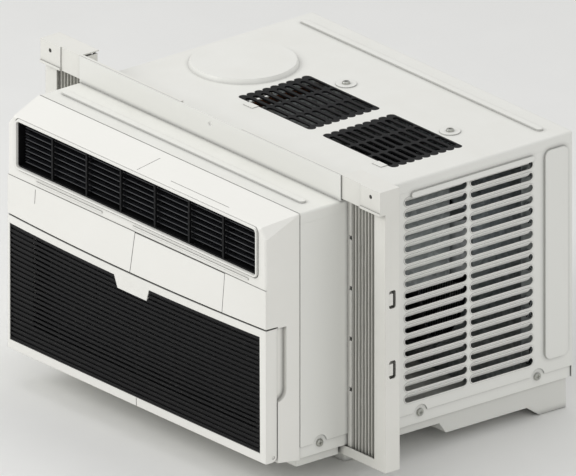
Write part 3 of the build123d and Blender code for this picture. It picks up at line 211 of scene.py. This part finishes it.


# the corner keys set how far the painted shade in corners reaches and how dark it gets
plasticSkins = {
    # white ABS of the front: clean, satin
    "whiteAbs": {"colour": "#F6F5F0", "flowColour": "#F1F0EA", "rough": 0.40, "bump": 0.30, "grainMm": 0.7,
                 "flowMm": 60, "paintedShadeReachMm": 6, "paintedShadeTone": 0.20, "ior": 1.54, "specular": 0.5,
                 "edgeMm": 0.9},
    # white polystyrene of the curtain frames: a touch greyer and glossier
    "whitePolystyrene": {"colour": "#EFEEE8", "flowColour": "#E6E5DE", "rough": 0.34, "bump": 0.2,
                         "grainMm": 0.8, "flowMm": 45, "paintedShadeReachMm": 8, "paintedShadeTone": 0.22, "ior": 1.59,
                         "specular": 0.5, "edgeMm": 0.6},
    # folded vinyl film: soft sheen, with painted shade darkening its folds
    "foldedVinyl": {"colour": "#E9E8E1", "flowColour": "#DDDCD3", "rough": 0.46, "bump": 0.35,
                    "grainMm": 1.2, "flowMm": 20, "paintedShadeReachMm": 7, "paintedShadeTone": 0.42, "ior": 1.53,
                    "specular": 0.5, "edgeMm": 0.3},
    # black polypropylene of the vents and the outlet's fixed grid: dull, slightly grey at the grain
    "blackPolypropylene": {"colour": "#08080A", "flowColour": "#0D0D0F", "rough": 0.58, "bump": 0.4,
                           "grainMm": 0.7, "flowMm": 30, "paintedShadeReachMm": 5, "paintedShadeTone": 0.5, "ior": 1.49,
                           "specular": 0.22, "edgeMm": 0.3},
    # charcoal ABS of the outlet's vanes: satin, so their edges catch the light
    "charcoalAbs": {"colour": "#292A2D", "flowColour": "#323337", "rough": 0.33, "bump": 0.25,
                    "grainMm": 0.7, "flowMm": 40, "paintedShadeReachMm": 8, "paintedShadeTone": 0.35, "ior": 1.54,
                    "specular": 0.35, "edgeMm": 0.3},
    # black nylon mesh of the intake
    "blackMeshNylon": {"colour": "#08080A", "flowColour": "#0C0C0E", "rough": 0.58, "bump": 0.35,
                       "grainMm": 0.7, "flowMm": 35, "paintedShadeReachMm": 4, "paintedShadeTone": 0.5, "ior": 1.53,
                       "specular": 0.22, "edgeMm": 0.3},
    # grey-blue polypropylene of the filter's frame
    "filterPolypropylene": {"colour": "#20242B", "flowColour": "#2A2F37", "rough": 0.48, "bump": 0.3,
                            "grainMm": 0.8, "flowMm": 30, "paintedShadeReachMm": 5, "paintedShadeTone": 0.5, "ior": 1.49,
                            "specular": 0.35, "edgeMm": 0.3},
    # glass-filled black plastic of both fans
    "filledNylon": {"colour": "#17181A", "flowColour": "#222326", "rough": 0.42, "bump": 0.5,
                    "grainMm": 1.0, "flowMm": 14, "paintedShadeReachMm": 6, "paintedShadeTone": 0.5, "ior": 1.53,
                    "specular": 0.35, "edgeMm": 0.3},
    # vulcanised rubber of the grommets and the cord bushing
    "blackRubber": {"colour": "#161616", "flowColour": "#1F1E1D", "rough": 0.74, "bump": 0.5,
                    "grainMm": 0.9, "flowMm": 10, "paintedShadeReachMm": 3, "paintedShadeTone": 0.6, "ior": 1.52,
                    "specular": 0.35, "edgeMm": 0.3},
    # stoved black enamel on the compressor and the motor
    "blackEnamel": {"colour": "#0F0F10", "flowColour": "#161617", "rough": 0.28, "bump": 0.3,
                    "grainMm": 2.0, "flowMm": 30, "paintedShadeReachMm": 6, "paintedShadeTone": 0.6, "ior": 1.5,
                    "specular": 0.35, "edgeMm": 0.3},
    # glass-epoxy board, green under its solder mask
    "glassEpoxy": {"colour": "#1E5B36", "flowColour": "#17492B", "rough": 0.35, "bump": 0.2, "grainMm": 1.5,
                   "flowMm": 6, "paintedShadeReachMm": 3, "paintedShadeTone": 0.6, "ior": 1.55, "specular": 0.5,
                   "edgeMm": 0.3},
}


# Hot-dip galvanised sheet: zinc spangles a few millimetres across, each with its own brightness.
def galvanisedSheet(name, spangleMm):
    material, tree, shader, place = startMaterial(name, {"Metallic": 1.0})
    cells = addNode(tree, "ShaderNodeTexVoronoi", {"Scale": 1 / (spangleMm * mm)}, {"Vector": place})
    bright = addNode(tree, "ShaderNodeSeparateColor", None, {"Color": cells.outputs["Color"]})
    tone = addNode(tree, "ShaderNodeMix", {"data_type": "RGBA"}, {"Factor": bright.outputs["Red"]})
    tone.inputs["A"].default_value = linearColour("#A9AEB1")
    tone.inputs["B"].default_value = linearColour("#C8CCCE")
    tree.links.new(tone.outputs["Result"], shader.inputs["Base Color"])
    rough = addNode(tree, "ShaderNodeMapRange", {"To Min": 0.32, "To Max": 0.52},
                    {"Value": bright.outputs["Green"]})
    tree.links.new(rough.outputs["Result"], shader.inputs["Roughness"])
    bump = addNode(tree, "ShaderNodeBump", {"Strength": 0.15, "Distance": 0.05 * mm},
                   {"Height": bright.outputs["Blue"]})
    tree.links.new(bump.outputs["Normal"], shader.inputs["Normal"])
    return material


# Bare metal that has been handled: an even base with soft patches of tarnish.
def bareMetal(name, metal):
    material, tree, shader, place = startMaterial(name, {"Metallic": 1.0})
    patch = addNode(tree, "ShaderNodeTexNoise", {"Scale": 1 / (metal["patchMm"] * mm), "Detail": 5.0},
                    {"Vector": place})
    tone = addNode(tree, "ShaderNodeMix", {"data_type": "RGBA"}, {"Factor": patch.outputs["Fac"]})
    tone.inputs["A"].default_value = linearColour(metal["colour"])
    tone.inputs["B"].default_value = linearColour(metal["tarnish"])
    tree.links.new(tone.outputs["Result"], shader.inputs["Base Color"])
    rough = addNode(tree, "ShaderNodeMapRange",
                    {"To Min": metal["rough"] - 0.08, "To Max": metal["rough"] + 0.12},
                    {"Value": patch.outputs["Fac"]})
    tree.links.new(rough.outputs["Result"], shader.inputs["Roughness"])
    bump = addNode(tree, "ShaderNodeBump", {"Strength": 0.15, "Distance": 0.05 * mm},
                   {"Height": patch.outputs["Fac"]})
    tree.links.new(bump.outputs["Normal"], shader.inputs["Normal"])
    return material


metalSkins = {
    "zincPlate": {"colour": "#C9CBC9", "tarnish": "#A9A89C", "rough": 0.30, "patchMm": 3},
    "groundSteel": {"colour": "#B9BBBD", "tarnish": "#8F8F8D", "rough": 0.25, "patchMm": 6},
    "drawnCopper": {"colour": "#C27C56", "tarnish": "#7E4A33", "rough": 0.32, "patchMm": 9},
    "drawnAluminium": {"colour": "#C6C8CA", "tarnish": "#A4A7AA", "rough": 0.34, "patchMm": 12},
}


# Aluminium fin pack: thin upright fins; the dark gaps between their bright edges are painted shade.
# Real fins stand 1.6 mm apart, and are drawn at 3 mm to show.
def finPack(name, pitchMm):
    material, tree, shader, place = startMaterial(name, {"Metallic": 1.0, "Roughness": 0.38})
    across = addNode(tree, "ShaderNodeSeparateXYZ", None, {"Vector": place}).outputs["X"]
    turns = addNode(tree, "ShaderNodeMath", {"operation": "MULTIPLY", 1: 2 * math.pi / (pitchMm * mm)},
                    {0: across})
    ridge = addNode(tree, "ShaderNodeMath", {"operation": "SINE"}, {0: turns.outputs["Value"]})
    share = addNode(tree, "ShaderNodeMapRange", {"From Min": -0.6, "From Max": 0.4},
                    {"Value": ridge.outputs["Value"]})
    # painted shade: the dark colour stands for the shade in the gaps between the fins
    tone = addNode(tree, "ShaderNodeMix", {"data_type": "RGBA"}, {"Factor": share.outputs["Result"]})
    tone.inputs["A"].default_value = linearColour("#3A3C3E")
    tone.inputs["B"].default_value = linearColour("#C4C8CB")
    tree.links.new(tone.outputs["Result"], shader.inputs["Base Color"])
    bump = addNode(tree, "ShaderNodeBump", {"Strength": 0.8, "Distance": 0.8 * mm},
                   {"Height": ridge.outputs["Value"]})
    tree.links.new(bump.outputs["Normal"], shader.inputs["Normal"])
    return material


# Expanded polystyrene of the air ducts: beads pressed together, matt and pale.
def expandedFoam(name, beadMm):
    material, tree, shader, place = startMaterial(name, {"IOR": 1.4, "Roughness": 0.82})
    beads = addNode(tree, "ShaderNodeTexVoronoi", {"Scale": 1 / (beadMm * mm)}, {"Vector": place})
    seam = addNode(tree, "ShaderNodeMapRange", {"From Max": 0.7}, {"Value": beads.outputs["Distance"]})
    tone = addNode(tree, "ShaderNodeMix", {"data_type": "RGBA"}, {"Factor": seam.outputs["Result"]})
    tone.inputs["A"].default_value = linearColour("#C9CBC8")
    tone.inputs["B"].default_value = linearColour("#A7A9A6")
    tree.links.new(tone.outputs["Result"], shader.inputs["Base Color"])
    bump = addNode(tree, "ShaderNodeBump", {"Strength": 0.5, "Distance": 0.4 * mm, "invert": True},
                   {"Height": beads.outputs["Distance"]})
    tree.links.new(bump.outputs["Normal"], shader.inputs["Normal"])
    return material


# Woven nylon net of the filter: fine threads with open squares between them.
# Real threads stand about 1.2 mm apart, and are drawn at 1.6 mm to show.
def wovenNet(name, threadMm):
    material, tree, shader, place = startMaterial(name, {"Roughness": 0.62})
    parts = addNode(tree, "ShaderNodeSeparateXYZ", None, {"Vector": place})
    waves = []
    for side in ("X", "Z"):
        turns = addNode(tree, "ShaderNodeMath", {"operation": "MULTIPLY", 1: 2 * math.pi / (threadMm * mm)},
                        {0: parts.outputs[side]})
        waves.append(addNode(tree, "ShaderNodeMath", {"operation": "SINE"}, {0: turns.outputs["Value"]}))
    thread = addNode(tree, "ShaderNodeMath", {"operation": "MAXIMUM"},
                     {0: waves[0].outputs["Value"], 1: waves[1].outputs["Value"]})
    tone = addNode(tree, "ShaderNodeMix", {"data_type": "RGBA"}, {"Factor": thread.outputs["Value"]})
    tone.inputs["A"].default_value = linearColour("#060607")
    tone.inputs["B"].default_value = linearColour("#25272B")
    tree.links.new(tone.outputs["Result"], shader.inputs["Base Color"])
    bump = addNode(tree, "ShaderNodeBump", {"Strength": 0.6, "Distance": 0.3 * mm},
                   {"Height": thread.outputs["Value"]})
    tree.links.new(bump.outputs["Normal"], shader.inputs["Normal"])
    return material


materials = {name: stovedEnamel(name, skin) for name, skin in enamelSkins.items()}
materials.update({name: mouldedPlastic(name, skin) for name, skin in plasticSkins.items()})
materials.update({name: bareMetal(name, metal) for name, metal in metalSkins.items()})
materials["galvanisedSheet"] = galvanisedSheet("galvanisedSheet", 6)
materials["finAluminium"] = finPack("finAluminium", 3)
materials["expandedFoam"] = expandedFoam("expandedFoam", 3.5)
materials["filterNet"] = wovenNet("filterNet", 1.6)
print("materials made")


# The finish of each CAD piece, by its slot in the record.
finishOfSlot = {
    "cabinet_steel": "cabinetEnamel",
    "pan_steel": "panEnamel",
    "rail_steel": "railEnamel",
    "front_plastic": "whiteAbs",
    "curtain_plastic": "whitePolystyrene",
    "curtain_film": "foldedVinyl",
    "vent_plastic": "blackPolypropylene",
    "outlet_plastic": "charcoalAbs",
    "mesh_plastic": "blackMeshNylon",
    "filter_plastic": "filterPolypropylene",
    "filter_net": "filterNet",
    "screw_steel": "zincPlate",
    "rubber_parts": "blackRubber",
    "coil_fins": "finAluminium",
    "galvanised_steel": "galvanisedSheet",
    "foam_board": "expandedFoam",
    "fan_plastic": "filledNylon",
    "shaft_steel": "groundSteel",
    "black_can": "blackEnamel",
    "copper_parts": "drawnCopper",
    "circuit": "glassEpoxy",
    "capacitor_can": "drawnAluminium",
}
# the outlet's fixed grid is duller and blacker than the vanes behind it
finishOfNode = {"outlet_frame": "blackPolypropylene"}
for part in frame["record"]["subparts"]:
    piece = nodes[part["node"]]
    finish = materials[finishOfNode.get(part["node"], finishOfSlot[part["material_slot"]])]
    piece.data.materials.clear()
    piece.data.materials.append(finish)
print("CAD pieces finished")


# Rolled rims round the louvres.
rim = {"radius": 0.75 * mm, "length": 92 * mm, "height": 10 * mm, "pitch": 14.2 * mm, "rows": 18,
       "topZ": 315 * mm, "columnsY": (28 * mm, 124.7 * mm), "arcSteps": 7, "ringSteps": 6}


def roundEnded(length, height, steps):
    # the outline of a slot, as points in its own plane
    radius = height / 2
    reach = length / 2 - radius
    points = []
    for centre, start in ((reach, -90), (-reach, 90)):
        for step in range(steps + 1):
            angle = math.radians(start + 180 * step / steps)
            points.append((centre + radius * math.cos(angle), radius * math.sin(angle)))
    return points


def louvreRims(name, side):
    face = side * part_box("curtain_retainer_right")[0][0]
    outline = roundEnded(rim["length"] + rim["radius"], rim["height"] + rim["radius"], rim["arcSteps"])
    count = len(outline)
    vertices, faces = [], []
    for centreY in rim["columnsY"]:
        for row in range(rim["rows"]):
            centreZ = rim["topZ"] - row * rim["pitch"]
            first = len(vertices)
            for i, (along, up) in enumerate(outline):
                before = Vector(outline[i - 1])
                after = Vector(outline[(i + 1) % count])
                outward = (after - before).normalized()
                outward = Vector((outward.y, -outward.x))
                for j in range(rim["ringSteps"]):
                    turn = 2 * math.pi * j / rim["ringSteps"]
                    spread = rim["radius"] * math.cos(turn)
                    lift = rim["radius"] * math.sin(turn)
                    vertices.append((face + side * lift, centreY + along + outward.x * spread,
                                     centreZ + up + outward.y * spread))
            for i in range(count):
                for j in range(rim["ringSteps"]):
                    a = first + i * rim["ringSteps"] + j
                    b = first + i * rim["ringSteps"] + (j + 1) % rim["ringSteps"]
                    c = first + (i + 1) % count * rim["ringSteps"] + (j + 1) % rim["ringSteps"]
                    d = first + (i + 1) % count * rim["ringSteps"] + j
                    faces.append((a, b, c, d) if side > 0 else (d, c, b, a))
    piece = meshPiece(name, vertices, faces, materials["cabinetEnamel"])
    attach(piece, "chassis")


louvreRims("louvre_rims_right", 1)
louvreRims("louvre_rims_left", -1)
print("louvre rims made")


# The pleated curtains, whose folds run upright.
pleats = {"count": 9, "foldSteps": 3, "foldRadius": 0.35 * mm, "thickness": 0.6 * mm, "levels": 24,
          "sag": 0.25 * mm, "inset": 0.8 * mm, "wavePerLevel": 1.7, "wavePerFold": 0.9, "blendZ": 0.2}


def pleatedCurtain(name, node, side):
    low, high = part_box(node)
    front, rear = low[1] + pleats["inset"], high[1] - pleats["inset"]
    start, end = (low[0], high[0]) if side > 0 else (high[0], low[0])
    step = (end - start) / (2 * pleats["count"])
    line = []
    for fold in range(2 * pleats["count"] + 1):
        x = start + fold * step
        y = front if fold % 2 == 0 else rear
        inward = 1 if fold % 2 == 0 else -1
        if fold in (0, 2 * pleats["count"]):
            line.append((x, y))
            continue
        for part in range(pleats["foldSteps"]):
            across = (part / (pleats["foldSteps"] - 1) - 0.5) * 2
            bend = pleats["foldRadius"] * across
            line.append((x + bend * side, y + inward * bend * across))
    vertices, faces = [], []
    levels = pleats["levels"]
    for level in range(levels + 1):
        z = low[2] + (high[2] - low[2]) * level / levels
        for i, (x, y) in enumerate(line):
            free = math.sin(math.pi * i / (len(line) - 1))
            phase = level * pleats["wavePerLevel"] + i * pleats["wavePerFold"]
            wave = pleats["sag"] * free * math.sin(phase)
            vertices.append((x, y + wave, z))
    width = len(line)
    for level in range(levels):
        for i in range(width - 1):
            a = level * width + i
            faces.append((a, a + 1, a + width + 1, a + width))
    piece = meshPiece(name, vertices, faces, materials["foldedVinyl"], smooth=False)
    solid = piece.modifiers.new("thickness", "SOLIDIFY")
    solid.thickness = pleats["thickness"]
    solid.offset = 0
    bakeModifiers(piece)
    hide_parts(node)
    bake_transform(piece)


pleatedCurtain("pleated_curtain_right", "accordion_right", 1)
pleatedCurtain("pleated_curtain_left", "accordion_left", -1)
print("curtains made")


# The moulded surround of the air outlet.
# Its profile runs from the outer foot over both crowns to the inner foot: inset in mm, share of the height.
surround = {"wide": 436 * mm, "high": 62 * mm, "corner": 7 * mm, "leastCorner": 2 * mm, "proud": 2.0 * mm,
            "ahead": 1.0 * mm, "centreZ": 299 * mm, "steps": 6, "profile": ((0, 0), (0.5, 1), (2.6, 1),
                                                                            (3.4, -0.6))}


def roundedLoop(width, height, corner, steps):
    points = []
    for index in range(4):
        signX = (1, -1, -1, 1)[index]
        signZ = (1, 1, -1, -1)[index]
        for step in range(steps + 1):
            angle = math.radians(90 * index + 90 * step / steps)
            points.append((signX * (width / 2 - corner) + corner * math.cos(angle),
                           signZ * (height / 2 - corner) + corner * math.sin(angle)))
    return points


def outletSurround():
    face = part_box("outlet_frame")[0][1] - surround["ahead"]
    rings = []
    for inset, lift in surround["profile"]:
        width = surround["wide"] - 2 * inset * mm
        height = surround["high"] - 2 * inset * mm
        corner = max(surround["corner"] - inset * mm, surround["leastCorner"])
        loop = roundedLoop(width, height, corner, surround["steps"])
        rings.append([(x, face - lift * surround["proud"], surround["centreZ"] + z) for x, z in loop])
    vertices = [point for ring in rings for point in ring]
    size = len(rings[0])
    faces = []
    for level in range(len(rings) - 1):
        for i in range(size):
            a = level * size + i
            b = level * size + (i + 1) % size
            faces.append((a, b, b + size, a + size))
    piece = meshPiece("outlet_surround", vertices, faces, materials["whiteAbs"], smooth=False)
    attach(piece, "chassis")


outletSurround()
print("outlet surround made")


# Fins that stand on the condenser behind the rear guard.
fins = {"pitch": 3.0 * mm, "thickness": 0.35 * mm, "proud": 2.2 * mm, "margin": 4 * mm,
        "leftMargin": 16 * mm, "rightMargin": 24 * mm}


def condenserFins():
    low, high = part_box("condenser_coil")
    left, right = low[0] + fins["leftMargin"], high[0] - fins["rightMargin"]
    count = int((right - left) / fins["pitch"])
    vertices, faces = [], []
    for index in range(count):
        x = left + index * fins["pitch"]
        first = len(vertices)
        for z in (low[2] + fins["margin"], high[2] - fins["margin"]):
            for y in (high[1], high[1] + fins["proud"]):
                for offset in (0, fins["thickness"]):
                    vertices.append((x + offset, y, z))
        corners = ((0, 1, 3, 2), (4, 6, 7, 5), (0, 4, 5, 1), (2, 3, 7, 6), (0, 2, 6, 4), (1, 5, 7, 3))
        faces.extend(tuple(first + i for i in face) for face in corners)
    piece = meshPiece("condenser_fins", vertices, faces, materials["drawnAluminium"], smooth=False)
    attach(piece, "chassis")


condenserFins()
print("fins made")


# Floor and light.
studio = {"floor": "#F4F4F2", "floorMottle": "#F0F0EE", "mottleMm": 80, "floorSize": 12.0,
          "floorDrop": 0.0005,
          "sky": "#FFFFFF", "skyStrength": 0.62, "aim": (0, 0, 0.2)}
softBoxes = {
    "keySoftBox": {"place": (-1.2, -2.2, 1.9), "size": (1.6, 1.2), "energy": 24},
    "fillSoftBox": {"place": (2.4, -0.6, 0.9), "size": (1.4, 1.4), "energy": 3},
    "topSoftBox": {"place": (-0.2, 0.1, 2.4), "size": (1.8, 1.8), "energy": 10},
}


def paperFloor():
    material, tree, shader, place = startMaterial("seamlessPaper",
                                                  {"Roughness": 0.9, "Specular IOR Level": 0.2})
    grain = addNode(tree, "ShaderNodeTexNoise", {"Scale": 1 / (studio["mottleMm"] * mm), "Detail": 3.0},
                    {"Vector": place})
    tone = addNode(tree, "ShaderNodeMix", {"data_type": "RGBA"}, {"Factor": grain.outputs["Fac"]})
    tone.inputs["A"].default_value = linearColour(studio["floor"])
    tone.inputs["B"].default_value = linearColour(studio["floorMottle"])
    tree.links.new(tone.outputs["Result"], shader.inputs["Base Color"])
    half = studio["floorSize"] / 2
    corners = [(-half, -half, 0), (half, -half, 0), (half, half, 0), (-half, half, 0)]
    floor = meshPiece("paper_floor", corners, [(0, 1, 2, 3)], material, smooth=False)
    floor.location.z = cadBox[0][2] - studio["floorDrop"]


def softBox(name, box):
    light = bpy.data.lights.new(name, "AREA")
    light.shape = "RECTANGLE"
    light.size, light.size_y = box["size"]
    light.energy = box["energy"]
    lamp = bpy.data.objects.new(name, light)
    lamp.location = box["place"]
    towards = Vector(studio["aim"]) - Vector(box["place"])
    lamp.rotation_euler = towards.to_track_quat("-Z", "Y").to_euler()
    bpy.context.scene.collection.objects.link(lamp)


def studioLight():
    world = bpy.data.worlds.new("studioSky")
    world.use_nodes = True
    sky = world.node_tree.nodes["Background"]
    sky.inputs["Color"].default_value = linearColour(studio["sky"])
    sky.inputs["Strength"].default_value = studio["skyStrength"]
    bpy.context.scene.world = world
    for name, box in softBoxes.items():
        softBox(name, box)


# The camera: a parallel view from the front right and a little above.
view = {"azimuth": 50.8, "elevation": 21.9, "distance": 3.0, "wide": 0.6555, "aim": (0.0659, -0.0512, 0.228),
        "near": 0.1, "far": 20}


def productCamera():
    lens = bpy.data.cameras.new("productCamera")
    lens.type = "ORTHO"
    lens.ortho_scale = view["wide"]
    lens.clip_start = view["near"]
    lens.clip_end = view["far"]
    camera = bpy.data.objects.new("productCamera", lens)
    around, up = math.radians(view["azimuth"]), math.radians(view["elevation"])
    towards = Vector((math.sin(around) * math.cos(up), -math.cos(around) * math.cos(up), math.sin(up)))
    camera.location = Vector(view["aim"]) + view["distance"] * towards
    camera.rotation_euler = (math.pi / 2 - up, 0, around)
    bpy.context.scene.collection.objects.link(camera)
    bpy.context.scene.camera = camera


paperFloor()
studioLight()
productCamera()
bpy.context.scene.view_settings.view_transform = "Standard"
print("studio made")
